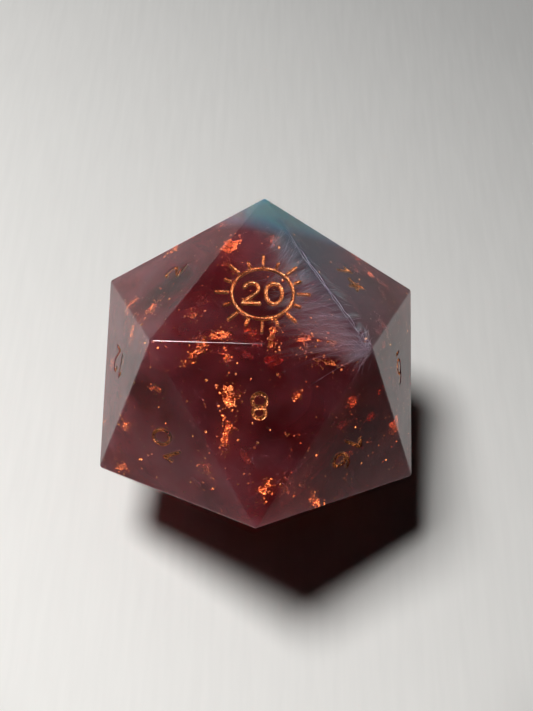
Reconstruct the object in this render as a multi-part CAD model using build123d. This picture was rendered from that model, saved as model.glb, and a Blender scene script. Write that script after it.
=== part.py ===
"""Twenty-sided polyhedral die, cast in translucent resin with inked numerals and copper foil.

The die stands on its face "1". The origin is the centre of that face, +Z is up and the face "8"
looks towards -Y. All lengths are in millimetres.
"""
from math import cos, radians, sin, sqrt
import os

from build123d import *

# Driving dimensions
FACE_TO_FACE = 33.0          # height of the die between two opposite faces
NUMERAL_HEIGHT = 2.9         # height of one engraved digit
STROKE = 0.36                # width of the engraved strokes of the digits
MARK_STROKE = 0.30           # width of the finer strokes round the "20"
ENGRAVING_DEPTH = 0.60       # depth of every groove below its face
INK_THICKNESS = 0.45         # ink lying on the floor of each groove
FOIL_THICKNESS = 0.12        # crumpled copper leaf

# Proportions of a regular icosahedron with edge length 1
GOLDEN = (1 + sqrt(5)) / 2
INRADIUS = GOLDEN ** 2 / (2 * sqrt(3))
CIRCUMRADIUS = sqrt(GOLDEN * sqrt(5)) / 2

EDGE = FACE_TO_FACE / (2 * INRADIUS)
CENTRE = Vector(0, 0, FACE_TO_FACE / 2)


def corner(radius, angle, height):
    """A corner of the die from its polar place about the vertical axis, height above the middle."""
    return Vector(radius * cos(radians(angle)), radius * sin(radians(angle)), height)


# The top face, the upper ring of corners that surrounds it, and their opposites
TOP_RADIUS = EDGE / sqrt(3)
TOP_HEIGHT = INRADIUS * EDGE
RING_RADIUS = TOP_RADIUS * GOLDEN
RING_HEIGHT = sqrt((CIRCUMRADIUS * EDGE) ** 2 - RING_RADIUS ** 2)

CORNERS = {
    "top_back": corner(TOP_RADIUS, 90, TOP_HEIGHT),
    "top_left": corner(TOP_RADIUS, 210, TOP_HEIGHT),
    "top_right": corner(TOP_RADIUS, 330, TOP_HEIGHT),
    "ring_front": corner(RING_RADIUS, 270, RING_HEIGHT),
    "ring_left": corner(RING_RADIUS, 150, RING_HEIGHT),
    "ring_right": corner(RING_RADIUS, 30, RING_HEIGHT),
}
OPPOSITE = {name: "below_" + name for name in CORNERS}
CORNERS.update({OPPOSITE[name]: -place for name, place in list(CORNERS.items())})

# Ten faces of the number: its three corners, the first being the one that the digits point to.
# The face on the other side of the die has the opposite corners and 21 less the number.
UPPER_FACES = {
    20: ("top_back", "top_left", "top_right"),
    8: ("ring_front", "top_left", "top_right"),
    14: ("ring_right", "top_back", "top_right"),
    2: ("ring_left", "top_back", "top_left"),
    10: ("below_ring_right", "top_left", "ring_front"),
    16: ("below_ring_left", "top_right", "ring_front"),
    12: ("below_ring_right", "top_left", "ring_left"),
    6: ("below_ring_left", "top_right", "ring_right"),
    18: ("below_ring_front", "top_back", "ring_left"),
    4: ("below_ring_front", "top_back", "ring_right"),
}
FACES = {number: names for number, names in UPPER_FACES.items()}
for number, names in UPPER_FACES.items():
    FACES[21 - number] = tuple(
        OPPOSITE.get(name) or name.removeprefix("below_") for name in names
    )


def face_plane(number):
    """The plane of a face: origin at its centre, Z outwards, Y towards the top of its digits."""
    points = [CORNERS[name] for name in FACES[number]]
    middle = (points[0] + points[1] + points[2]) / 3
    out = middle.normalized()
    up = (points[0] - middle).normalized()
    return Plane(origin=middle + CENTRE, x_dir=up.cross(out), z_dir=out)


def on_face(number, x, y, depth):
    """A point x right of and y above a face's centre, and depth below its surface."""
    return face_plane(number).from_local_coords(Vector(x, y, -depth))


def die_blank():
    """The plain icosahedron."""
    sides = []
    for names in FACES.values():
        outline = Wire.make_polygon([CORNERS[name] + CENTRE for name in names])
        sides.append(Face(outline))
    return Solid(Shell(sides))


# Engraved digits, drawn in a box one unit high about the origin

DIGIT_TOP = 0.44             # centre line of the top stroke
DIGIT_HALF = 0.29            # centre line of the side strokes
DIGIT_PITCH = 0.80           # from one digit's centre to the next
LINE_WIDTH = STROKE / NUMERAL_HEIGHT


def line_stroke(start, end):
    """A straight groove with round ends."""
    return SlotArc(Edge.make_line(start, end), LINE_WIDTH)


def arc_stroke(centre, radius, start_angle, sweep):
    """A round groove with round ends, from start_angle through sweep degrees."""
    return SlotArc(CenterArc(centre, radius, start_angle, sweep).edge(), LINE_WIDTH)


def ring_stroke(centre, radius_x, radius_y):
    """A closed round groove."""
    half = LINE_WIDTH / 2
    ring = Ellipse(radius_x + half, radius_y + half) - Ellipse(radius_x - half, radius_y - half)
    return Pos(*centre) * ring


def digit_0():
    return ring_stroke((0, 0), DIGIT_HALF, DIGIT_TOP)


def digit_1():
    stem = line_stroke((0.06, -DIGIT_TOP), (0.06, DIGIT_TOP))
    return stem + line_stroke((0.06, DIGIT_TOP), (-0.18, 0.22))


def digit_2():
    radius = 0.25
    centre = (0, DIGIT_TOP - radius)
    turn = 40
    tail = (centre[0] + radius * cos(radians(-turn)), centre[1] + radius * sin(radians(-turn)))
    bowl = arc_stroke(centre, radius, 165, -165 - turn)
    foot = (-DIGIT_HALF, -DIGIT_TOP)
    return bowl + line_stroke(tail, foot) + line_stroke(foot, (DIGIT_HALF, -DIGIT_TOP))


def digit_3():
    upper, lower = 0.21, 0.24
    top = arc_stroke((0, DIGIT_TOP - upper), upper, 155, -245)
    return top + arc_stroke((0, lower - DIGIT_TOP), lower, 90, -245)


def digit_4():
    top, elbow, bar_end = (0.10, DIGIT_TOP), (-DIGIT_HALF, -0.14), (0.30, -0.14)
    return line_stroke(top, elbow) + line_stroke(elbow, bar_end) + line_stroke(top, (0.10, -DIGIT_TOP))


def digit_5():
    radius = 0.28
    centre = (-0.02, radius - DIGIT_TOP)
    turn = 128
    neck = (centre[0] + radius * cos(radians(turn)), centre[1] + radius * sin(radians(turn)))
    corner_left = (neck[0] + 0.02, DIGIT_TOP)
    bowl = arc_stroke(centre, radius, turn, -turn - 140)
    return bowl + line_stroke(neck, corner_left) + line_stroke(corner_left, (0.22, DIGIT_TOP))


def digit_6():
    radius = 0.27
    loop = ring_stroke((0, radius - DIGIT_TOP), radius, radius)
    stem = ThreePointArc((-radius, radius - DIGIT_TOP), (-0.15, 0.21), (0.16, DIGIT_TOP))
    return loop + SlotArc(stem.edge(), LINE_WIDTH)


def digit_7():
    corner_right = (0.27, DIGIT_TOP)
    return line_stroke((-0.27, DIGIT_TOP), corner_right) + line_stroke(corner_right, (-0.09, -DIGIT_TOP))


def digit_8():
    upper, lower = 0.21, 0.25
    top = ring_stroke((0, DIGIT_TOP - upper), upper, upper)
    return top + ring_stroke((0, lower - DIGIT_TOP), lower, lower)


def digit_9():
    return Rot(0, 0, 180) * digit_6()


DIGITS = (digit_0, digit_1, digit_2, digit_3, digit_4, digit_5, digit_6, digit_7, digit_8, digit_9)


def numeral(number):
    """The engraved outline of a number, in millimetres. 6 and 9 have a bar under them."""
    digits = [DIGITS[int(figure)]() for figure in str(number)]
    first = -DIGIT_PITCH * (len(digits) - 1) / 2
    drawing = Pos(first, 0) * digits[0]
    for place, digit in enumerate(digits[1:], start=1):
        drawing += Pos(first + place * DIGIT_PITCH, 0) * digit
    if number in (6, 9):
        drawing += line_stroke((-0.22, -0.70), (0.22, -0.70))
    return scale(drawing, by=NUMERAL_HEIGHT)


# The face "20" carries a plain rayed ring round its number

RING_MARK_RADIUS = 3.15
RAY_COUNT = 16
RAY_START = 3.60
RAY_LENGTHS = (0.55, 1.15)   # short and long rays alternate


def ringed_numeral(number):
    """A number inside a ring, with short and long rays standing round it."""
    half = MARK_STROKE / 2
    drawing = Circle(RING_MARK_RADIUS + half) - Circle(RING_MARK_RADIUS - half)
    drawing += numeral(number)
    for place in range(RAY_COUNT):
        length = RAY_LENGTHS[(place + 1) % 2]
        ray = Edge.make_line((0, RAY_START), (0, RAY_START + length))
        drawing += Rot(0, 0, place * 360 / RAY_COUNT) * SlotArc(ray, MARK_STROKE)
    return drawing


def engraving(number):
    """The whole groove of a face and the ink that lies on its floor, as two solids each."""
    plane = face_plane(number)
    drawing = ringed_numeral(number) if number == 20 else numeral(number)
    floor = plane.offset(-ENGRAVING_DEPTH)
    groove = extrude(floor * drawing, amount=ENGRAVING_DEPTH)
    ink = extrude(floor * drawing, amount=INK_THICKNESS)
    return groove, ink


# Copper foil: face, millimetres right of and above its centre, depth, length, width, turn in degrees
FOIL_FLAKES = (
    (2, 4.2, -5.2, 1.5, 1.9, 1.0, 20),
    (2, 4.6, 4.4, 1.0, 1.0, 0.6, 60),
    (2, -4.2, 4.2, 1.2, 1.2, 0.7, 0),
    (2, -5.6, -1.0, 1.0, 1.6, 0.9, 35),
    (12, -2.4, -4.5, 1.0, 1.5, 0.8, 75),
    (12, 4.4, 1.6, 1.8, 1.2, 0.7, 10),
    (20, 1.1, 8.3, 3.5, 1.1, 0.8, 30),
    (20, -6.9, -2.6, 1.5, 1.1, 0.6, 0),
    (20, -4.2, -5.0, 1.2, 1.9, 0.9, 15),
    (20, 1.0, -5.3, 1.1, 1.8, 0.6, 80),
    (20, 4.4, -4.9, 1.5, 1.3, 0.7, 15),
    (20, 7.0, -5.4, 1.2, 1.0, 0.5, 170),
    (8, 6.3, -5.4, 1.2, 2.5, 0.7, 45),
    (8, -6.3, -4.6, 1.3, 2.3, 0.4, 165),
    (8, 3.4, -4.6, 1.6, 0.8, 0.6, 30),
    (8, 2.9, -1.0, 1.0, 1.8, 1.3, 100),
    (8, 3.2, 3.2, 1.5, 2.7, 0.6, 80),
    (8, -3.9, -1.0, 1.6, 0.7, 0.5, 20),
    (8, -0.9, 8.6, 1.4, 1.5, 1.0, 60),
    (10, 5.9, -2.6, 1.2, 1.1, 0.7, 40),
    (10, 3.6, 5.0, 1.0, 1.0, 0.6, 120),
    (10, -0.9, 9.6, 1.2, 1.4, 0.8, 90),
    (10, -3.8, -3.0, 1.4, 1.2, 0.9, 0),
    (16, 6.2, -4.6, 1.6, 1.0, 0.7, 30),
    (16, 6.4, 0.6, 1.2, 2.5, 0.5, 65),
    (16, -4.8, -2.4, 2.8, 1.2, 0.9, 45),
    (14, -2.0, 6.6, 1.8, 1.0, 0.7, 50),
    (4, 3.6, -2.2, 1.4, 1.8, 1.0, 25),
    (18, -3.0, 3.4, 1.6, 1.5, 0.9, 130),
    (6, 2.8, 5.0, 1.5, 1.3, 0.7, 70),
)
# Flakes that lie round the back and underneath, in the same terms
BACK_FLAKES = (
    (4, -4.4, 4.0, 2.0, 1.2, 0.8, 10),
    (18, 4.6, -3.6, 1.4, 1.4, 0.8, 80),
    (13, -4.2, -2.8, 1.6, 1.6, 0.9, 20),
    (13, 3.8, 1.6, 2.2, 1.1, 0.7, 110),
    (7, 2.6, 4.8, 1.5, 1.5, 0.8, 50),
    (19, -3.8, -2.0, 1.8, 1.2, 0.7, 160),
    (15, 4.2, -3.4, 1.6, 1.4, 0.8, 35),
    (1, -4.6, 2.8, 2.0, 1.6, 1.0, 70),
    (5, 0.8, 5.6, 1.6, 1.4, 0.8, 15),
    (11, 3.4, -3.2, 1.8, 1.3, 0.8, 95),
)
FLAKE_OUTLINE = ((-0.50, -0.10), (-0.16, -0.50), (0.34, -0.36), (0.50, 0.12), (0.08, 0.50), (-0.30, 0.34))
FLAKE_FOLD = 24              # degrees between the two halves of a folded flake


def foil_flake(face, x, y, depth, length, width, turn):
    """A torn scrap of copper leaf, lightly folded along its length."""
    outline = [(px * length, py * width) for px, py in FLAKE_OUTLINE]
    scrap = extrude(make_face(Polyline(*outline, close=True)), amount=FOIL_THICKNESS)
    fold = Plane.XZ
    halves = []
    for keep, tilt in ((Keep.TOP, -FLAKE_FOLD / 2), (Keep.BOTTOM, FLAKE_FOLD / 2)):
        halves.append(Rot(tilt, 0, 0) * split(scrap, bisect_by=fold, keep=keep))
    flake = halves[0] + halves[1]
    plane = face_plane(face)
    return plane * Pos(x, y, -depth) * Rot(0, 0, turn) * flake


# The lilac ink cloud: a soft knot with tapering tendrils that sink into the resin.
# Each tendril ends at millimetres right of and above the centre of the face "20", and its depth.
CLOUD_ROOT = (6.2, -1.2, 3.4)
CLOUD_RADIUS = 1.5
TENDRIL_ENDS = (
    (3.2, 6.6, 3.2),
    (1.0, 4.6, 4.4),
    (-1.6, 2.6, 5.2),
    (-2.4, 0.0, 5.6),
    (-1.2, -2.6, 5.2),
    (1.6, -3.8, 4.4),
    (8.2, -3.6, 2.4),
)
TENDRIL_ROOT_RADIUS = 0.75
TENDRIL_TIP_RADIUS = 0.22


def lilac_cloud():
    """The knot and tendrils fused into one solid."""
    root = on_face(20, *CLOUD_ROOT)
    cloud = Pos(*root) * Sphere(CLOUD_RADIUS)
    for end in TENDRIL_ENDS:
        tip = on_face(20, *end)
        run = tip - root
        path = Plane(origin=root, z_dir=run)
        taper = Cone(TENDRIL_ROOT_RADIUS, TENDRIL_TIP_RADIUS, run.length,
                     align=(Align.CENTER, Align.CENTER, Align.MIN))
        cloud += path * taper
    return cloud


# The teal pour fills the top back corner, and its surface set level in a tilted mould.
# It crosses three edges that leave that corner, at these shares of an edge.
TEAL_REACH = {"top_left": 0.16, "top_right": 0.36, "ring_right": 0.95}


def teal_plane():
    """The level that the teal resin set at, with Z towards its corner."""
    start = CORNERS["top_back"]
    points = [start + (CORNERS[name] - start) * share for name, share in TEAL_REACH.items()]
    out = (points[1] - points[0]).cross(points[2] - points[0]).normalized()
    if out.dot(start - points[0]) < 0:
        out = -out
    return Plane(origin=points[0] + CENTRE, z_dir=out)


def write(node, shape):
    """One node, as its own file."""
    shape.label = node
    export_step(shape, os.path.join("parts", node + ".step"))


def main():
    os.makedirs("parts", exist_ok=True)

    grooves = []
    for number in sorted(FACES):
        groove, ink = engraving(number)
        grooves.append(groove)
        write("ink_numeral_%02d" % number, ink)

    flakes = [foil_flake(*row) for row in FOIL_FLAKES]
    for place, flake in enumerate(flakes, start=1):
        write("copper_flake_%02d" % place, flake)
    back_flakes = [foil_flake(*row) for row in BACK_FLAKES]
    write("copper_flakes_back", Compound(children=back_flakes))

    cloud = lilac_cloud()
    write("lilac_ink_cloud", cloud)

    blank = die_blank()
    teal, burgundy = (split(blank, bisect_by=teal_plane(), keep=keep) for keep in (Keep.TOP, Keep.BOTTOM))
    cut_outs = grooves + flakes + back_flakes + [cloud]
    write("teal_resin", teal.cut(*cut_outs))
    write("burgundy_resin", burgundy.cut(*cut_outs))

    print("edge", round(EDGE, 3), "corner to corner", round(2 * CIRCUMRADIUS * EDGE, 3))


main()
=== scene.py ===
"""Looks of the polyhedral die: one clear casting with haze, petri ink, copper leaf and inked numerals.

A refracting shell takes the place of the two CAD resins, because a wall between them would show as a mirror.
Inside it hang closed bodies of haze for the pours, and threads of ink and scraps of leaf as opaque meshes. No
more than eight bodies that hold a volume may overlap at one point: Cycles drops the light of any beyond that.
"""
import random
from math import cos, pi, radians, sin, sqrt

import bmesh
import bpy
import numpy as np
from mathutils import Matrix, Vector, noise


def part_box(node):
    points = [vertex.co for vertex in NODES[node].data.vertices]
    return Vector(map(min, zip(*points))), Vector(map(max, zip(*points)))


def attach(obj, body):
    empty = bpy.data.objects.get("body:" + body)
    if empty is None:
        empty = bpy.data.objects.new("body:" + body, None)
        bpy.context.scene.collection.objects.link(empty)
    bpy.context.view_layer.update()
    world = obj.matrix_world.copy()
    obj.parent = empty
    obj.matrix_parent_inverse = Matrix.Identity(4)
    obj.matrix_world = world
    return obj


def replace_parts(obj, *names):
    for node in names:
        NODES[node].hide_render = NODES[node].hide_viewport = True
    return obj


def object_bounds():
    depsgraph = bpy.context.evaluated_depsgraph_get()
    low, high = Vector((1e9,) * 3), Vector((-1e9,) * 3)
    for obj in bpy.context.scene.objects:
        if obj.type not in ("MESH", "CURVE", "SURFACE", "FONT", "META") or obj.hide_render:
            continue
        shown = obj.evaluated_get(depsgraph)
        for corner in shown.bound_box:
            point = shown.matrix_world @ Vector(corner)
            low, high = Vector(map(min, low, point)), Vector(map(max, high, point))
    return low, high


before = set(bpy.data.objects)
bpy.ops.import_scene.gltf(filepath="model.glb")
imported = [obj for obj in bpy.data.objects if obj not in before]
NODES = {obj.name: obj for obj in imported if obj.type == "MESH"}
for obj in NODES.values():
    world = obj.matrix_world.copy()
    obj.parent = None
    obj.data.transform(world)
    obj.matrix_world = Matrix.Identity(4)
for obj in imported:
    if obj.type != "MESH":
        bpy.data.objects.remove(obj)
cad_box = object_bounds()

MM = 0.001
UP = Vector((0, 0, 1))

# ---------------------------------------------------------------- the die's geometry, from its box

GOLDEN = (1 + sqrt(5)) / 2
INRADIUS = GOLDEN ** 2 / (2 * sqrt(3))          # of an icosahedron with edge length 1
LOW, HIGH = cad_box
HEIGHT = HIGH.z - LOW.z
EDGE = HEIGHT / (2 * INRADIUS)
CENTRE = (LOW + HIGH) / 2
WELD = 0.0005 * MM               # points of a CAD mesh that lie nearer than this are one point


def polar(radius, angle, height):
    return Vector((radius * cos(radians(angle)), radius * sin(radians(angle)), height))


def corners():
    """The twelve corners about the centre, in edge lengths."""
    top_radius = 1 / sqrt(3)
    ring_radius = top_radius * GOLDEN
    ring_height = INRADIUS / GOLDEN ** 3
    upper = [polar(top_radius, angle, INRADIUS) for angle in (90, 210, 330)]
    upper += [polar(ring_radius, angle, ring_height) for angle in (270, 150, 30)]
    return upper + [-place for place in upper]


CORNERS = [place * EDGE for place in corners()]
TOP_BACK, TOP_LEFT, TOP_RIGHT, RING_FRONT, RING_LEFT, RING_RIGHT = CORNERS[:6]


def find_faces():
    """Corner triples that lie one edge apart, turned to face outwards."""
    found = []
    for i in range(12):
        for j in range(i + 1, 12):
            for k in range(j + 1, 12):
                a, b, c = CORNERS[i], CORNERS[j], CORNERS[k]
                sides = ((a - b).length, (b - c).length, (c - a).length)
                if max(sides) < EDGE * 1.01:
                    outward = (b - a).cross(c - a).dot(a + b + c) > 0
                    found.append((i, j, k) if outward else (i, k, j))
    return found


def normal_between(i, j, k):
    """The outward normal of the face between three corners."""
    return (CORNERS[i] + CORNERS[j] + CORNERS[k]).normalized()


FACES = find_faces()
NORMALS = [normal_between(*face) for face in FACES]


def face_normal(place):
    """The outward normal of the face that a point about the centre lies nearest to."""
    return max(NORMALS, key=lambda n: n.dot(place))


RIGHT_FACE = face_normal((TOP_BACK + TOP_RIGHT + RING_RIGHT) / 3)
FRONT_FACE = face_normal((TOP_LEFT + TOP_RIGHT + RING_FRONT) / 3)


def depth_below(place, normal):
    """How far a point lies below the face with that normal."""
    return INRADIUS * EDGE - (place - CENTRE).dot(normal)


def kept_inside(place, margin):
    """place, moved in until it lies at least margin below every face."""
    for normal in NORMALS:
        proud = margin - depth_below(place, normal)
        if proud > 0:
            place = place - normal * proud
    return place


def spot_on_face(draw):
    """Any point on any face, about the centre, with that face's normal and corners."""
    i, j, k = draw.choice(FACES)
    a, b = sorted((draw.random(), draw.random()))
    place = a * CORNERS[i] + (b - a) * CORNERS[j] + (1 - b) * CORNERS[k]
    return place, normal_between(i, j, k), (CORNERS[i], CORNERS[j], CORNERS[k])


def jitter(draw, reach):
    """A small step in any direction, reach millimetres or so each way."""
    return Vector([draw.gauss(0, reach) * MM for _ in range(3)])


def icosahedron(inset=0.0):
    """A bmesh of the die, each face moved in by inset."""
    share = 1 - inset / (INRADIUS * EDGE)
    bm = bmesh.new()
    verts = [bm.verts.new(CENTRE + place * share) for place in CORNERS]
    for i, j, k in FACES:
        bm.faces.new((verts[i], verts[j], verts[k]))
    bm.normal_update()
    return bm


def as_object(bm, name, material=None):
    mesh = bpy.data.meshes.new(name)
    bm.to_mesh(mesh)
    bm.free()
    obj = bpy.data.objects.new(name, mesh)
    bpy.context.scene.collection.objects.link(obj)
    if material is not None:
        mesh.materials.append(material)
    return obj


# ---------------------------------------------------------------- materials


class Shading:
    """A new material, and short ways to put nodes into it."""

    def __init__(self, name):
        self.material = bpy.data.materials.new(name)
        self.material.use_nodes = True
        self.nodes = self.material.node_tree.nodes
        self.nodes.clear()

    def feed(self, socket, value):
        """Gives a socket a value, or links it to another node's socket."""
        if isinstance(value, bpy.types.NodeSocket):
            self.material.node_tree.links.new(value, socket)
        else:
            socket.default_value = value

    def add(self, kind, operation=None, **inputs):
        """A new node. In the names of its inputs, an underscore stands for a space."""
        node = self.nodes.new("ShaderNode" + kind)
        if operation is not None:
            node.operation = operation
        for name, value in inputs.items():
            self.feed(node.inputs[name.replace("_", " ")], value)
        return node

    def place(self):
        """The point that is shaded, in metres in the die's frame."""
        return self.add("TexCoord").outputs["Object"]

    def number(self, operation, *values):
        """Arithmetic on numbers."""
        node = self.add("Math", operation)
        for socket, value in zip(node.inputs, values):
            self.feed(socket, value)
        return node.outputs["Value"]

    def vector(self, operation, *values, result="Vector"):
        """Arithmetic on vectors."""
        node = self.add("VectorMath", operation)
        for socket, value in zip(node.inputs, values):
            self.feed(socket, value)
        return node.outputs[result]

    def clouds(self, place, size, detail=2):
        """Noise between 0 and 1 whose features are about size across."""
        return self.add("TexNoise", Vector=place, Scale=1 / size, Detail=detail).outputs["Fac"]

    def spread(self, value, source, target=(0, 1), smooth=False):
        """value, carried from one range to another and held at both ends."""
        node = self.add("MapRange", Value=value, From_Min=source[0], From_Max=source[1],
                        To_Min=target[0], To_Max=target[1])
        if smooth:
            node.interpolation_type = "SMOOTHSTEP"
        return node.outputs["Result"]

    def ramp(self, value, *stops):
        """A colour that follows value. Each stop is a value and its colour."""
        node = self.add("ValToRGB", Fac=value)
        elements = node.color_ramp.elements
        for position, _ in stops[1:-1]:
            elements.new(position)
        for element, (position, colour) in zip(elements, stops):
            element.position = position
            element.color = (*colour, 1)
        return node.outputs["Color"]

    def done(self, surface, volume=None):
        out = self.add("OutputMaterial", Surface=surface.outputs[0])
        if volume is not None:
            self.feed(out.inputs["Volume"], volume.outputs[0])
        return self.material


def resin_material():
    """Clear, polished resin that reddens with depth."""
    s = Shading("polished_resin")
    shell = s.add("BsdfPrincipled", Base_Color=(1, 1, 1, 1), Roughness=0.02, IOR=1.41,
                  Specular_Tint=(0.88, 0.54, 0.57, 1), Transmission_Weight=1.0)
    body = s.add("VolumeAbsorption", Color=(0.60, 0.10, 0.12, 1), Density=175.0)
    return s.done(shell, body)


def even(shading, density):
    """The same density all through a haze."""
    return density


def haze_material(name, scatter, absorb=(0, 0, 0), milky=0.0, scatter_as=even, absorb_as=even):
    """Fine pigment hanging in the resin: what it scatters and what it takes away, per metre and colour.

    A milky haze sends light back the way it came. scatter_as and absorb_as vary the densities from place to
    place.
    """
    s = Shading(name)
    density = max(scatter)
    haze = s.add("VolumeScatter", Color=(*[part / density for part in scatter], 1),
                 Density=scatter_as(s, density), Anisotropy=-milky)
    if max(absorb) > 0:
        density = max(absorb)
        dye = s.add("VolumeAbsorption", Color=(*[1 - part / density for part in absorb], 1),
                    Density=absorb_as(s, density))
        both = s.add("AddShader")
        s.feed(both.inputs[0], haze.outputs[0])
        s.feed(both.inputs[1], dye.outputs[0])
        haze = both
    return s.done(s.add("BsdfTransparent"), haze)


LIT_PATCH_SIZE = 1.6 * MM        # the copper's painted glow comes and goes in patches about that large
GLINT_SIZE = 0.20 * MM
# the colour of the painted glints, paler than the copper's own tone
PAINTED_GLINT_TINT = (1.0, 0.78, 0.60, 1)


def copper_material(name, pale, deep, roughness, grain, crinkle_depth, glow):
    """Bare copper: two tones mottled at the size of grain and crinkled at the same size, with painted glints.

    A path tracer hardly finds the lamp's glitter through the refracting shell. Emission in patches and glints
    stands in for
    it: a painted highlight, since the copper glows though it is no lamp.
    """
    s = Shading(name)
    place = s.place()
    tone = s.ramp(s.clouds(place, grain, detail=4), (0.40, deep), (0.56, pale))
    crinkle = s.add("TexVoronoi", Vector=place, Scale=1 / grain).outputs["Distance"]
    lift = s.add("Bump", Strength=1.0, Distance=crinkle_depth, Height=crinkle)
    # painted highlight: emission in patches, far brighter at the glints
    painted_glow_patches = s.spread(s.clouds(place, LIT_PATCH_SIZE), (0.40, 0.62), (0.04 * glow, glow))
    painted_glints = s.spread(s.clouds(place, GLINT_SIZE), (0.52, 0.64), (0.40, 7.0))
    glitter = s.add("MixRGB", Fac=1.0, Color1=tone, Color2=PAINTED_GLINT_TINT)
    glitter.blend_type = "MULTIPLY"
    metal = s.add("BsdfPrincipled", Base_Color=tone, Normal=lift.outputs["Normal"], Roughness=roughness,
                  Metallic=1.0, Emission_Color=glitter.outputs["Color"],
                  Emission_Strength=s.number("MULTIPLY", painted_glow_patches, painted_glints))
    return s.done(metal)


def chalky_material(name, deep, pale):
    """Chalky ink, mottled between two tones."""
    s = Shading(name)
    tone = s.ramp(s.clouds(s.place(), 1.2 * MM, detail=3), (0.3, deep), (0.7, pale))
    return s.done(s.add("BsdfPrincipled", Base_Color=tone, Roughness=0.8))


def painted_highlight_material():
    """A painted highlight: near-white metal with fine scuffs."""
    s = Shading("painted_highlight_metal")
    tone = s.ramp(s.clouds(s.place(), 0.4 * MM), (0.3, (0.75, 0.55, 0.55)), (0.6, (1.0, 0.93, 0.91)))
    return s.done(s.add("BsdfPrincipled", Base_Color=tone, Metallic=1.0, Roughness=0.35))


# Lit and shaded copies of one ink: the second has a darker deep tone and less painted glow, painted shade for
# faces turned from the lamp.
COPPER_INK = copper_material("copper_ink", pale=(1.00, 0.50, 0.22), deep=(0.26, 0.05, 0.02), roughness=0.35,
                             grain=0.16 * MM, crinkle_depth=0.088 * MM, glow=0.21)
PAINTED_SHADE_INK = copper_material("painted_shade_ink", pale=(0.95, 0.42, 0.17), deep=(0.05, 0.01, 0.01), roughness=0.35,
                             grain=0.16 * MM, crinkle_depth=0.088 * MM, glow=0.12)
# The leaf's glow is painted glints standing in for the lamp's glitter: strong for the leaf near the faces,
# weak for the deep leaf.
COPPER_LEAF = copper_material("copper_leaf", pale=(1.00, 0.50, 0.20), deep=(0.35, 0.03, 0.01), roughness=0.40,
                              grain=0.15 * MM, crinkle_depth=0.020 * MM, glow=0.95)
DEEP_LEAF = copper_material("deep_leaf", pale=(0.90, 0.30, 0.12), deep=(0.35, 0.03, 0.02), roughness=0.50,
                            grain=0.30 * MM, crinkle_depth=0.024 * MM, glow=0.20)
LILAC_INK = chalky_material("lilac_ink", deep=(0.40, 0.28, 0.42), pale=(0.80, 0.72, 0.84))

# ---------------------------------------------------------------- engraving and ink

ENGRAVING_DEPTH = 0.60 * MM
INK_TOP = 0.15 * MM              # how far the ink's rim lies below the face
INK_MIDDLE = (INK_TOP + ENGRAVING_DEPTH) / 2
INK_WET = 0.012 * MM             # the ink bites this far into the resin round it
CUTTER_RISE = 2.5                # times INK_TOP: takes the groove's cutter out through the face
MENISCUS = ((0.05, 0.06), (0.05, 0.035), (0.04, 0.015))   # steps in from the rim and down, in mm
INK_SHARP_FROM = radians(55)
FLAT_TOP = 0.98                  # cosine of the most that the ink's top may lean from its face
LIT_FACE = 0.5                   # faces whose normal rises more than this see the lamp; ink under them gets the lit copy, the rest the painted-shade copy


def welded(node):
    """A CAD node's mesh as a closed bmesh."""
    bm = bmesh.new()
    bm.from_mesh(node.data)
    bmesh.ops.remove_doubles(bm, verts=bm.verts, dist=WELD)
    bmesh.ops.dissolve_degenerate(bm, edges=bm.edges, dist=0.0002 * MM)
    bm.normal_update()
    return bm


def node_normal(name):
    """The normal of the face that a CAD node lies under."""
    low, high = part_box(name)
    return face_normal((low + high) / 2 - CENTRE)


def groove_cutter(name):
    """The ink's own prism, drawn out through the face above it."""
    normal = node_normal(name)
    bm = welded(NODES[name])
    for v in bm.verts:
        if depth_below(v.co, normal) < INK_MIDDLE:
            v.co += normal * CUTTER_RISE * INK_TOP
    return bm


def make_ink(name):
    """Ink that wets the groove and sinks towards its middle."""
    normal = node_normal(name)
    bm = welded(NODES[name])
    for v in bm.verts:
        v.co += v.normal * INK_WET
    bm.normal_update()
    top = [f for f in bm.faces
           if f.normal.dot(normal) > FLAT_TOP and depth_below(f.calc_center_median(), normal) < INK_MIDDLE]
    for step_in, step_down in MENISCUS:
        bmesh.ops.inset_region(bm, faces=top, thickness=step_in * MM, depth=-step_down * MM,
                               use_even_offset=False)
    for f in bm.faces:
        f.smooth = True
    # painted light and shade: the lit copy under faces that rise towards the lamp, the darker copy under the
    # rest
    material = COPPER_INK if normal.z > LIT_FACE else PAINTED_SHADE_INK
    ink = as_object(bm, name.replace("ink_numeral", "ink"), material)
    ink.data.set_sharp_from_angle(angle=INK_SHARP_FROM)
    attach(ink, "root")
    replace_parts(ink, name)


INK_NODES = sorted(name for name in NODES if name.startswith("ink_numeral"))

# ---------------------------------------------------------------- the casting

EDGE_ROUNDING = 0.15 * MM
EDGE_SEGMENTS = 16


def cut(obj, cutter):
    """Takes cutter away from obj, for good."""
    step = obj.modifiers.new("cut", "BOOLEAN")
    step.operation = "DIFFERENCE"
    step.solver = "EXACT"
    step.object = cutter
    shaped = bpy.data.meshes.new_from_object(obj.evaluated_get(bpy.context.evaluated_depsgraph_get()))
    obj.modifiers.clear()
    obj.data = shaped
    bpy.data.objects.remove(cutter)


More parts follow.
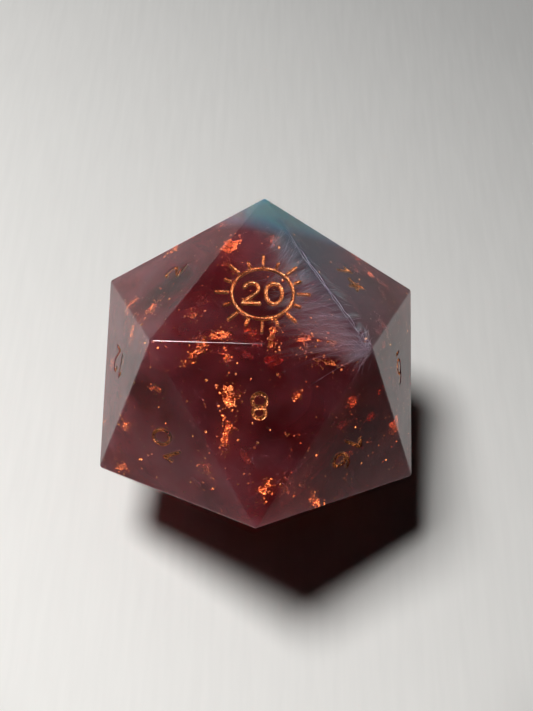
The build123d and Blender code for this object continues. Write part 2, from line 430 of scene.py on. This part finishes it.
def make_casting():
    """The clear shell: rounded edges, and a groove for each mark."""
    bm = icosahedron()
    bmesh.ops.bevel(bm, geom=bm.edges[:], offset=EDGE_ROUNDING, segments=EDGE_SEGMENTS, profile=0.5,
                    affect="EDGES")
    casting = as_object(bm, "resin_casting", resin_material())
    cutters = bmesh.new()
    for name in INK_NODES:
        piece = groove_cutter(name)
        mesh = bpy.data.meshes.new("groove")
        piece.to_mesh(mesh)
        piece.free()
        cutters.from_mesh(mesh)
        bpy.data.meshes.remove(mesh)
    cut(casting, as_object(cutters, "grooves"))
    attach(casting, "root")
    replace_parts(casting, "burgundy_resin", "teal_resin")


TAPER = 0.8                      # under 1, a tapering piece stays wide for longer
CATCH_STEPS = 24
CATCH_START, CATCH_SPAN = 0.012, 0.50    # shares of the edge, from its left end
CATCH_WIDTH = 0.062 * MM
CATCH_SINK = 0.14 * EDGE_ROUNDING        # brings it down onto the rounded edge
CATCH_TIP = 0.15                 # the width that is left at its right end, as a share
CATCH_THICKNESS = 0.003 * MM


def make_painted_highlight_strip():
    """A hair-fine strip of near-white metal along the front edge of the top face: a painted highlight where
    the rounded edge catches the lamp. It narrows to the right, so the highlight fades.
    """
    upward = (UP + FRONT_FACE).normalized()
    across = (TOP_RIGHT - TOP_LEFT).normalized().cross(upward)
    bm = bmesh.new()
    rings = []
    for step in range(CATCH_STEPS + 1):
        share = step / CATCH_STEPS
        middle = CENTRE + TOP_LEFT.lerp(TOP_RIGHT, CATCH_START + CATCH_SPAN * share) - upward * CATCH_SINK
        half = CATCH_WIDTH * (CATCH_TIP + (1 - CATCH_TIP) * (1 - share) ** TAPER) / 2
        rings.append([bm.verts.new(middle + across * half * a - upward * CATCH_THICKNESS * b)
                      for a, b in ((-1, 0), (1, 0), (1, 1), (-1, 1))])
    for one, two in zip(rings, rings[1:]):
        for k in range(4):
            bm.faces.new((one[k], one[(k + 1) % 4], two[(k + 1) % 4], two[k]))
    bm.faces.new(rings[0][::-1])
    bm.faces.new(rings[-1])
    bmesh.ops.recalc_face_normals(bm, faces=bm.faces)
    catch = as_object(bm, "painted_highlight_strip", painted_highlight_material())
    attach(catch, "root")


make_painted_highlight_strip()
make_casting()
for name in INK_NODES:
    make_ink(name)

# ---------------------------------------------------------------- haze

# The level that each pour reached, as shares of the edges that leave the top back corner
CAP_REACH = ((TOP_LEFT, 0.17), (TOP_RIGHT, 0.20), (RING_RIGHT, 0.42))
VEIL_REACH = ((TOP_LEFT, 0.16), (TOP_RIGHT, 0.90), (RING_RIGHT, 0.70))
MIST_REACH = ((TOP_LEFT, 0.36), (TOP_RIGHT, 1.35), (RING_RIGHT, 1.0))
# Name, level, half the fade and inset in mm, scattering, absorption, how milky, slot
SOFT_POURS = (
    ("teal_haze", CAP_REACH, 1.5, 0.18, (900, 2000, 3300), (130, 0, 0), 0.0, "teal_resin"),
    ("teal_veil", VEIL_REACH, 1.2, 0.20, (60, 135, 180), (330, 60, 24), 0.0, "teal_resin"),
    ("lilac_mist", MIST_REACH, 2.6, 0.22, (165, 165, 205), (0, 0, 0), 0.4, "lilac_ink"),
)
BURGUNDY_SCATTER, BURGUNDY_ABSORB = (162, 96, 124), (60, 340, 325)
HAZE_INSET = 0.16 * MM           # just below the ink's rim
BURGUNDY_OVERLAP = 0.6 * MM      # how far the burgundy reaches past the veil's level

THIN_CORE = (7 * MM, 3 * MM, 0)          # the burgundy is thinnest round the upright line through here
CORE_RADIUS, SIDE_RADIUS = 7 * MM, 22 * MM
CORE_SHARE, SIDE_SHARE = 0.48, 1.55
CLOUD_SIZE = 5.5 * MM
CLOUD_SHARES = (0.15, 2.0)


def pour_level(reach):
    """A point on the level that a pour set at, and the normal towards the top back corner."""
    points = [TOP_BACK.lerp(place, share) for place, share in reach]
    normal = (points[1] - points[0]).cross(points[2] - points[0]).normalized()
    if normal.dot(TOP_BACK - points[0]) < 0:
        normal.negate()
    return CENTRE + points[0], normal


def poured(name, inset, level, normal, material):
    """The part of the die on normal's side of a level, as one closed body of haze."""
    bm = icosahedron(inset)
    whole = bm.verts[:] + bm.edges[:] + bm.faces[:]
    cut_edges = bmesh.ops.bisect_plane(bm, geom=whole, plane_co=level, plane_no=normal, clear_inner=True)
    bmesh.ops.holes_fill(bm, edges=[e for e in cut_edges["geom_cut"] if isinstance(e, bmesh.types.BMEdge)])
    bmesh.ops.recalc_face_normals(bm, faces=bm.faces)
    return as_object(bm, name, material)


def fading(level, normal, fade):
    """A density that goes from full to nothing across a level, fade to either side of it."""
    height = level.dot(normal)

    def density_there(shading, density):
        along = shading.vector("DOT_PRODUCT", shading.place(), normal, result="Value")
        return shading.spread(along, (height - fade, height + fade), (0, density), smooth=True)

    return density_there


def clouded(shading, density):
    """A density that grows from the core to the sides, and varies in clouds."""
    place = shading.place()
    from_core = shading.vector("SUBTRACT", place, THIN_CORE)
    aside = shading.vector("MULTIPLY", from_core, (1, 1, 0))
    radius = shading.vector("LENGTH", aside, result="Value")
    sides = shading.spread(radius, (CORE_RADIUS, SIDE_RADIUS), (CORE_SHARE, SIDE_SHARE))
    clouds = shading.clouds(place, CLOUD_SIZE)
    local = shading.spread(clouds, (0.3, 0.7), [share * density for share in CLOUD_SHARES])
    return shading.number("MULTIPLY", sides, local)


def soft_pour(name, reach, fade, inset, scatter, absorb, milky):
    level, normal = pour_level(reach)
    thinning = fading(level, normal, fade)
    material = haze_material(name, scatter, absorb, milky, thinning, thinning)
    return poured(name, inset, level - normal * fade, normal, material)


def make_haze():
    level, normal = pour_level(VEIL_REACH)
    material = haze_material("burgundy_haze", BURGUNDY_SCATTER, BURGUNDY_ABSORB, scatter_as=clouded)
    burgundy = poured("burgundy_haze", HAZE_INSET, level - normal * BURGUNDY_OVERLAP, -normal, material)
    pours = [(burgundy, "burgundy_resin")]
    for name, reach, fade, inset, scatter, absorb, milky, slot in SOFT_POURS:
        pours.append((soft_pour(name, reach, fade * MM, inset * MM, scatter, absorb, milky), slot))
    for piece, slot in pours:
        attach(piece, "root")


make_haze()

# ---------------------------------------------------------------- lilac petri ink

PLUME_STEPS = 10
PLUME_SIDES = 6
PLUME_TIP = 0.06                 # the width that is left at a plume's ends, as a share
PLUME_MARGIN = 0.17 * MM         # no plume comes nearer to a face than that
FEATHER_MARGIN = 0.25 * MM       # nor does a feather's own line
SEAM_MARGIN = 0.2 * MM

SEAM_EDGE = TOP_RIGHT - TOP_BACK         # the feathers leave a seam of ink just under this edge
BELOW_SEAM = -(UP + RIGHT_FACE).normalized()
SEAM_STRANDS = 2
SEAM_START, SEAM_SPAN = 0.22, 0.74       # shares of the edge

# Shares of the feathers, added up: over the top face, down the right face, and from the knot over the top
# face. The rest leave the knot down the front face.
TOP_LOT, RIGHT_LOT, KNOT_TOP_LOT = 0.58, 0.68, 0.84
FEATHER_START = 0.18             # how far down the edge the feathers begin, as a share
THREAD_COUNT = 190
SOFT_FEATHER_COUNT = 55
SOFT_FEATHER_LOTS = 3            # each its own body of haze, so that they can cross
KNOT_COUNT = 90


def plume(bm, points, width, thickness, flat):
    """A closed body along points that tapers at both ends, thin across the direction flat."""
    rings = []
    for step, place in enumerate(points):
        before, after = points[max(step - 1, 0)], points[min(step + 1, len(points) - 1)]
        along = (after - before).normalized()
        side = along.cross(flat).normalized()
        thick = side.cross(along)
        swell = PLUME_TIP + (1 - PLUME_TIP) * sin(pi * (step + 0.3) / (len(points) - 0.4)) ** TAPER
        ring = []
        for k in range(PLUME_SIDES):
            angle = 2 * pi * k / PLUME_SIDES
            out = swell * (width * cos(angle) * side + thickness * sin(angle) * thick)
            ring.append(bm.verts.new(kept_inside(place + out, PLUME_MARGIN)))
        rings.append(ring)
    for one, two in zip(rings, rings[1:]):
        for k in range(PLUME_SIDES):
            after = (k + 1) % PLUME_SIDES
            bm.faces.new((one[k], one[after], two[after], two[k]))
    bm.faces.new(rings[0][::-1])
    bm.faces.new(rings[-1])


def feather_path(draw, start, towards, length, sink, normal, spread):
    """Points of one feather: it leaves start, bends a little to one side and sinks faster and faster."""
    along = (towards - start).normalized()
    side = along.cross(normal).normalized()
    lean, bend = draw.gauss(0, spread), draw.gauss(0, spread)
    points = []
    for step in range(PLUME_STEPS):
        t = step / (PLUME_STEPS - 1)
        place = start + length * t * (along + side * (lean + bend * t)) - normal * sink * t ** 1.5
        points.append(kept_inside(place, FEATHER_MARGIN))
    return points


def petri_roots(draw):
    """Where a feather starts, the point it flows to, its face, and how long it may be."""
    lot = draw.random()
    share = 1 - (1 - FEATHER_START) * draw.random() ** 1.2
    start = TOP_BACK + SEAM_EDGE * share + BELOW_SEAM * draw.uniform(0.35, 0.8) * MM
    if lot < TOP_LOT:
        flow = TOP_BACK + 0.63 * (TOP_LEFT - TOP_BACK) + 0.21 * SEAM_EDGE
        return CENTRE + start, CENTRE + flow, UP, draw.uniform(2.5, 9.5) * (0.45 + 0.6 * share) * MM
    if lot < RIGHT_LOT:
        flow = (TOP_BACK + TOP_RIGHT + RING_RIGHT) / 3 + 0.2 * SEAM_EDGE
        return CENTRE + start, CENTRE + flow, RIGHT_FACE, draw.uniform(1.0, 3.0) * MM
    knot = TOP_RIGHT * 0.965 + jitter(draw, 0.35)
    if lot < KNOT_TOP_LOT:
        return CENTRE + knot, CENTRE + 0.8 * TOP_LEFT, UP, draw.uniform(1.5, 6.0) * MM
    return CENTRE + knot, CENTRE + (TOP_LEFT + RING_FRONT) / 2, FRONT_FACE, draw.uniform(1.0, 3.6) * MM


def make_feathers(name, count, seed, width, thickness, spread, material):
    draw = random.Random(seed)
    bm = bmesh.new()
    for _ in range(count):
        start, flow, normal, length = petri_roots(draw)
        sink = draw.uniform(0.1, 1.2) * MM
        scale = draw.uniform(0.5, 1.5)
        path = feather_path(draw, start, flow, length, sink, normal, spread)
        plume(bm, path, width * scale, thickness * scale, normal)
    bmesh.ops.recalc_face_normals(bm, faces=bm.faces)
    for f in bm.faces:
        f.smooth = True
    piece = as_object(bm, name, material)
    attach(piece, "root")
    return piece


def make_seam():
    """The cord of ink that the feathers leave, just under the edge."""
    draw = random.Random(8)
    bm = bmesh.new()
    for strand in range(SEAM_STRANDS):
        depth = (0.32 + 0.26 * strand) * MM
        points = []
        for step in range(PLUME_STEPS * 2):
            share = SEAM_START + SEAM_SPAN * step / (PLUME_STEPS * 2 - 1)
            wander = jitter(draw, 0.05)
            place = CENTRE + TOP_BACK.lerp(TOP_RIGHT, share) + BELOW_SEAM * depth + wander
            points.append(kept_inside(place, SEAM_MARGIN))
        plume(bm, points, 0.05 * MM, 0.04 * MM, UP)
    bmesh.ops.recalc_face_normals(bm, faces=bm.faces)
    seam = as_object(bm, "petri_seam", LILAC_INK)
    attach(seam, "root")


def make_knot():
    """Where the feathers spring from: the ink stayed thick in the right corner of the top face."""
    draw = random.Random(77)
    bm = bmesh.new()
    for _ in range(KNOT_COUNT):
        start = CENTRE + TOP_RIGHT * 0.966 + jitter(draw, 0.30)
        flow = CENTRE + draw.choice((TOP_LEFT, RING_FRONT, TOP_BACK)) * 0.9
        path = feather_path(draw, start, flow, draw.uniform(0.6, 2.8) * MM, 0.3 * MM, UP, 0.35)
        plume(bm, path, 0.018 * MM, 0.012 * MM, UP)
    bmesh.ops.recalc_face_normals(bm, faces=bm.faces)
    knot = as_object(bm, "petri_knot", LILAC_INK)
    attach(knot, "root")


def make_petri():
    threads = make_feathers("petri_threads", THREAD_COUNT, 4, 0.014 * MM, 0.010 * MM, 0.20, LILAC_INK)
    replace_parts(threads, "lilac_ink_cloud")
    soft = haze_material("petri_haze", (620, 760, 930), milky=0.4)
    for number in range(SOFT_FEATHER_LOTS):
        make_feathers("petri_haze_%d" % (number + 1), SOFT_FEATHER_COUNT, 20 + number,
                      0.36 * MM, 0.13 * MM, 0.12, soft)
    make_seam()
    make_knot()


make_petri()

# ---------------------------------------------------------------- smoke

SMOKE_LOTS = 2
SMOKE_COUNT = 26


def make_smoke():
    """Paler drifts where the pigment stayed thick, bent round the die's middle."""
    draw = random.Random(12)
    smoke = haze_material("burgundy_smoke", (300, 80, 98))
    for number in range(SMOKE_LOTS):
        bm = bmesh.new()
        for _ in range(SMOKE_COUNT):
            place, normal, ends = spot_on_face(draw)
            start = CENTRE + place - normal * draw.uniform(0.8, 3.5) * MM
            flow = CENTRE + draw.choice(ends)
            length = draw.uniform(4, 12) * MM
            path = feather_path(draw, start, flow, length, draw.uniform(-0.5, 2.0) * MM, normal, 0.5)
            plume(bm, path, draw.uniform(0.5, 1.6) * MM, draw.uniform(0.3, 0.8) * MM, normal)
        bmesh.ops.recalc_face_normals(bm, faces=bm.faces)
        piece = as_object(bm, "smoke_%d" % (number + 1), smoke)
        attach(piece, "root")


make_smoke()

# ---------------------------------------------------------------- copper leaf

LEAF_RINGS, LEAF_SPOKES = 4, 11
LEAF_THICKNESS = 0.015 * MM
LEAF_MARGIN = 0.16 * MM          # no leaf comes nearer to a face than that
CRUMB_MARGIN = 0.2 * MM          # nor does the middle of a crumb or a scrap
LEVEL = Vector((-0.20, -0.12, 1.0))      # the way the board that the casting set on leaned
UNDERSIDE = -0.2                 # scraps under faces whose normal rises less than this lie along the face
FOLDS = ((0.6, 1.0), (0.3, 0.7))         # sizes of the folds as shares of the scrap, and their weights
FOLD_HEIGHT = 0.12               # as a share of the scrap's size
TEAR, TEAR_DEPTH = 2.2, 0.32     # how fast the rim comes and goes in large tears, and how far
NICK, NICK_DEPTH = 7, 0.26       # and in small nicks
RIM_REACH, LEAST_REACH = 0.42, 0.14      # as shares of the scrap's length and width
CRUMB_CORNERS = 5
CRUMB_RISE = 0.14                # of a crumb's middle above its rim, as a share of its size
SCRAP_LENGTH = 0.9 * MM          # a long flake lies in scraps about that long
DUST_COUNT = 3000
DEEP_COUNT = 60
DEEP_MARGIN = 1.2 * MM


def loose_parts(mesh):
    """The separate solids of a mesh, as lists of points in an order that doesn't change from run to run."""
    bm = bmesh.new()
    bm.from_mesh(mesh)
    bmesh.ops.remove_doubles(bm, verts=bm.verts, dist=WELD)
    left = set(bm.verts)
    parts = []
    while left:
        todo = [left.pop()]
        found = []
        while todo:
            v = todo.pop()
            found.append(v.co.copy())
            for e in v.link_edges:
                other = e.other_vert(v)
                if other in left:
                    left.discard(other)
                    todo.append(other)
        parts.append(sorted(found, key=tuple))
    bm.free()
    return sorted(parts, key=lambda points: tuple(round(c, 7) for c in sum(points, Vector()) / len(points)))


def leaf_frame(points):
    """Middle, length, width and turn of a flat scrap, from how its points spread."""
    spread = np.array([tuple(p) for p in points])
    middle = (spread.min(axis=0) + spread.max(axis=0)) / 2
    axes = np.linalg.svd(spread - spread.mean(axis=0))[2]
    long, wide = Vector(axes[0]), Vector(axes[1])
    if long.dot(LEVEL) < 0:
        long.negate()
    if long.cross(wide).dot(Vector(middle) - CENTRE) < 0:
        wide.negate()
    length, width, _ = np.ptp((spread - middle) @ axes.T, axis=0)
    turn = Matrix((long, wide, long.cross(wide))).transposed().to_4x4()
    return Matrix.Translation(Vector(middle)) @ turn, length, width


def crumple(x, y, seed, size):
    """Height of a crumpled sheet: folds that meet in ridges, at two sizes."""
    height = 0.0
    for step, share in FOLDS:
        at = Vector((x / (step * size), y / (step * size), 7.3 * seed))
        height += share * (abs(noise.noise(at)) - 0.25)
    return height


def rim_noise(angle, rate, row):
    """Noise that comes back to where it began once round a scrap's rim."""
    return noise.noise(Vector((rate * cos(angle), rate * sin(angle), row)))


def leaf_mesh(bm, matrix, length, width, seed):
    """Adds one torn, crumpled scrap of leaf to bm: two layers of rings, joined at the rim."""
    size = max(length, width)
    layers = []
    for side in (0.5, -0.5):
        layer = []
        for ring in range(LEAF_RINGS + 1):
            share = ring / LEAF_RINGS
            for spoke in range(LEAF_SPOKES if ring else 1):
                angle = 2 * pi * spoke / LEAF_SPOKES
                torn = rim_noise(angle, TEAR, seed * 3.1)
                nick = rim_noise(angle, NICK, seed * 1.7)
                reach = share * max(LEAST_REACH, RIM_REACH + TEAR_DEPTH * torn + NICK_DEPTH * nick)
                x, y = reach * length * cos(angle), reach * width * sin(angle)
                z = FOLD_HEIGHT * size * crumple(x, y, seed, size) + side * LEAF_THICKNESS
                margin = LEAF_MARGIN + (0.5 - side) * LEAF_THICKNESS
                layer.append(bm.verts.new(kept_inside(matrix @ Vector((x, y, z)), margin)))
        layers.append(layer)

    def vert(layer, ring, spoke):
        return layer[0] if ring == 0 else layer[1 + (ring - 1) * LEAF_SPOKES + spoke % LEAF_SPOKES]

    for layer, upper in zip(layers, (True, False)):
        for ring in range(LEAF_RINGS):
            for spoke in range(LEAF_SPOKES):
                a, b = vert(layer, ring, spoke), vert(layer, ring + 1, spoke)
                c, d = vert(layer, ring + 1, spoke + 1), vert(layer, ring, spoke + 1)
                if ring == 0:
                    triangles = [(a, b, c)]
                elif (spoke + ring) % 2:
                    triangles = [(a, b, d), (b, c, d)]
                else:
                    triangles = [(a, b, c), (a, c, d)]
                for triangle in triangles:
                    bm.faces.new(triangle if upper else triangle[::-1])
    for spoke in range(LEAF_SPOKES):
        a, b = vert(layers[0], LEAF_RINGS, spoke), vert(layers[0], LEAF_RINGS, spoke + 1)
        c, d = vert(layers[1], LEAF_RINGS, spoke + 1), vert(layers[1], LEAF_RINGS, spoke)
        bm.faces.new((a, d, c, b))


def crumb(bm, place, size, turn, draw):
    """Adds a bent shard of leaf with five uneven corners to bm."""
    rim = []
    for k in range(CRUMB_CORNERS):
        angle = 2 * pi * (k + draw.uniform(-0.3, 0.3)) / CRUMB_CORNERS
        reach = size * draw.uniform(0.25, 0.6)
        corner = Vector((reach * cos(angle), reach * sin(angle), size * draw.uniform(-0.12, 0.12)))
        rim.append(bm.verts.new(place + turn @ corner))
    top = bm.verts.new(place + turn @ Vector((0, 0, CRUMB_RISE * size)))
    low = bm.verts.new(place - turn @ Vector((0, 0, CRUMB_RISE * size)))
    for k in range(CRUMB_CORNERS):
        after = (k + 1) % CRUMB_CORNERS
        bm.faces.new((rim[k], rim[after], top))
        bm.faces.new((rim[after], rim[k], low))


def tilt(draw, degrees):
    """A turn by about that many degrees round any axis."""
    axis = Vector([draw.gauss(0, 1) for _ in range(3)]).normalized()
    return Matrix.Rotation(radians(draw.gauss(0, degrees)), 4, axis)


def settled(turn):
    """turn, leaned over: scraps come to rest flatter than the face above them."""
    turn = turn.to_3x3()
    up = turn.col[2].normalized()
    if up.z < UNDERSIDE:
        return turn.to_4x4()
    return (up.rotation_difference((up + LEVEL).normalized()).to_matrix() @ turn).to_4x4()


def leaf_cluster(bm, matrix, length, width, seed):
    """A flake as it really lies: a few torn scraps along its length, and crumbs that came off them."""
    draw = random.Random(seed)
    turn = settled(matrix)
    scraps = max(1, round(length / SCRAP_LENGTH))
    for number in range(scraps):
        along = length * ((number + 0.5) / scraps - 0.5)
        size = draw.uniform(1.0, 1.7) * length / scraps
        place = matrix @ Vector((along, width * draw.uniform(-0.2, 0.2), draw.uniform(-0.1, 0.1) * MM))
        place = kept_inside(place, CRUMB_MARGIN + 0.25 * size)
        leaf_mesh(bm, Matrix.Translation(place) @ turn @ tilt(draw, 12), size,
                  min(size, width * draw.uniform(0.9, 1.4)), seed + 0.37 * number)
    for _ in range(20 + round(30 * length / MM)):
        place = Vector((draw.gauss(0, 0.5) * length, draw.gauss(0, 0.6) * width + draw.gauss(0, 0.25) * MM,
                        draw.gauss(0, 0.25) * MM))
        place = kept_inside(matrix @ place, CRUMB_MARGIN)
        crumb(bm, place, (0.09 + 0.24 * draw.random() ** 2) * MM, (turn @ tilt(draw, 15)).to_3x3(), draw)


def leaf_object(bm, name, material=COPPER_LEAF):
    bmesh.ops.recalc_face_normals(bm, faces=bm.faces)
    leaf = as_object(bm, name, material)
    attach(leaf, "root")
    return leaf


def make_leaf(node_name, piece_name):
    """The leaf that takes the place of one CAD node, scrap by scrap."""
    bm = bmesh.new()
    for number, points in enumerate(loose_parts(NODES[node_name].data)):
        matrix, length, width = leaf_frame(points)
        leaf_cluster(bm, matrix, length, width, 1 + number + 11 * sorted(NODES).index(node_name))
    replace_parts(leaf_object(bm, piece_name), node_name)


def point_under_face(draw, depth):
    """Any point that deep under any face, and a frame that lies along the face there."""
    place, normal, _ = spot_on_face(draw)
    return CENTRE + place - normal * depth, normal.to_track_quat("Z", "Y").to_matrix().to_4x4()


def make_dust():
    """Crumbs of leaf all through the resin."""
    draw = random.Random(31)
    bm = bmesh.new()
    for _ in range(DUST_COUNT):
        place, turn = point_under_face(draw, (0.25 + 4.5 * draw.random() ** 2) * MM)
        size = (0.08 + 0.28 * draw.random() ** 3) * MM
        crumb(bm, kept_inside(place, CRUMB_MARGIN), size, (settled(turn) @ tilt(draw, 15)).to_3x3(), draw)
    leaf_object(bm, "copper_dust")


def make_deep_leaf():
    """Scraps that sank, which show only as dim red glows: their copper has a little painted glow."""
    draw = random.Random(57)
    bm = bmesh.new()
    for number in range(DEEP_COUNT):
        place, turn = point_under_face(draw, draw.uniform(1.8, 5.0) * MM)
        place = kept_inside(place, DEEP_MARGIN)
        length = draw.uniform(0.6, 1.9) * MM
        matrix = Matrix.Translation(place) @ turn @ tilt(draw, 25)
        leaf_cluster(bm, matrix, length, length * draw.uniform(0.4, 0.9), 900 + number)
    leaf_object(bm, "deep_leaf", DEEP_LEAF)


for name in sorted(NODES):
    if name.startswith("copper_flake"):
        make_leaf(name, name.replace("copper_flake", "leaf"))
make_dust()
make_deep_leaf()

# ---------------------------------------------------------------- stage, light and camera

FLOOR_HALF = 1.2
FLOOR_DROP = 0.01 * MM           # keeps the floor clear of the die's lowest face
FLOOR_BRIGHT_SIDE = Vector((-0.6, -0.8, 0))     # painted light: the floor's colour is paler towards the front left
STREAK_SIZE = 0.9 * MM
STREAK_STRETCH = (1, 0.08, 1)
STREAK_AMOUNT = 20 * MM          # a streak changes the tone as much as a step that long would
LIT_FLOOR = (56 * MM, 95 * MM)   # painted shade: the floor's colour darkens between these distances towards the viewer or aside, where the lit area ends


def floor_material():
    """Pale brushed board: streaks that run away from the viewer, painted light that makes it paler towards
    the front left, and painted shade beyond a lit area.
    """
    s = Shading("floor")
    place = s.place()
    along = s.vector("DOT_PRODUCT", place, FLOOR_BRIGHT_SIDE, result="Value")
    brushed = s.add("Mapping", Vector=place, Rotation=(0, 0, radians(7)), Scale=STREAK_STRETCH)
    streaks = s.clouds(brushed.outputs["Vector"], STREAK_SIZE, detail=4)
    varied = s.number("MULTIPLY_ADD", streaks, STREAK_AMOUNT, along)
    # painted light: the tone runs from dark far off to pale towards the front left
    tone = s.ramp(s.spread(varied, (-190 * MM, 70 * MM)), (0, (0.27, 0.266, 0.26)),
                  (0.423, (0.470, 0.466, 0.455)), (1, (0.96, 0.945, 0.91)))
    parts = s.add("SeparateXYZ", Vector=place).outputs
    out_of_light = s.number("SUBTRACT", s.number("ABSOLUTE", parts["X"]), parts["Y"])
    # painted shade: the tone falls to 0.4 beyond the lit area
    shade = s.spread(out_of_light, LIT_FLOOR, (1.0, 0.4), smooth=True)
    shaded = s.vector("SCALE", tone)
    s.feed(shaded.node.inputs["Scale"], shade)
    relief = s.add("Bump", Strength=0.25, Distance=0.05 * MM, Height=streaks)
    return s.done(s.add("BsdfPrincipled", Base_Color=shaded, Normal=relief.outputs["Normal"], Roughness=0.7))


def make_floor():
    bm = bmesh.new()
    height = LOW.z - FLOOR_DROP
    bm.faces.new([bm.verts.new((x * FLOOR_HALF, y * FLOOR_HALF, height))
                  for x, y in ((-1, -1), (1, -1), (1, 1), (-1, 1))])
    return as_object(bm, "floor", floor_material())


make_floor()

LAMP_OFFSET = Vector((-0.126, 0.055, 0.386))     # from the die: above it, to the left and a little behind
LAMP_SIZE = 0.152
LAMP_POWER = 1.81


def make_lamp():
    """The one round soft box."""
    data = bpy.data.lights.new("key", "AREA")
    data.shape = "DISK"
    data.size = LAMP_SIZE
    data.energy = LAMP_POWER
    obj = bpy.data.objects.new("key", data)
    obj.location = CENTRE + LAMP_OFFSET
    obj.rotation_euler = (-LAMP_OFFSET).to_track_quat("-Z", "Y").to_euler()
    bpy.context.scene.collection.objects.link(obj)


def make_room():
    """The dark room round the set."""
    world = bpy.data.worlds.new("room")
    bpy.context.scene.world = world
    world.use_nodes = True
    background = world.node_tree.nodes["Background"]
    background.inputs["Color"].default_value = (0.9, 0.95, 1.0, 1)
    background.inputs["Strength"].default_value = 0.004


CAMERA_PLACE = CENTRE + EDGE * Vector((-0.0562, -2.7811, 4.5607))
CAMERA_BACK = Vector((-0.01765, -0.53835, 0.84254)).normalized()     # away from what it looks at
CAMERA_ROLL = radians(3.3)
SENSOR_WIDTH = 36
LENS = 51.15


def make_camera():
    """The camera stands 5.3 edge lengths away, above and in front."""
    data = bpy.data.cameras.new("camera")
    data.sensor_width = SENSOR_WIDTH
    data.lens = LENS
    data.clip_start = 1 * MM
    obj = bpy.data.objects.new("camera", data)
    level = UP.cross(CAMERA_BACK).normalized()
    right = Matrix.Rotation(CAMERA_ROLL, 3, CAMERA_BACK) @ level
    turn = Matrix((right, CAMERA_BACK.cross(right), CAMERA_BACK)).transposed().to_4x4()
    obj.matrix_world = Matrix.Translation(CAMERA_PLACE) @ turn
    bpy.context.scene.collection.objects.link(obj)
    bpy.context.scene.camera = obj


make_lamp()
make_room()
make_camera()
bpy.context.scene.view_settings.view_transform = "Standard"
bpy.context.scene.view_settings.gamma = 0.93
bpy.context.scene.cycles.sample_clamp_indirect = 0       # keeps all the light that the haze passes on
bpy.context.scene.cycles.volume_bounces = 8
bpy.context.scene.cycles.transparent_max_bounces = 64    # a ray crosses the walls of many plumes
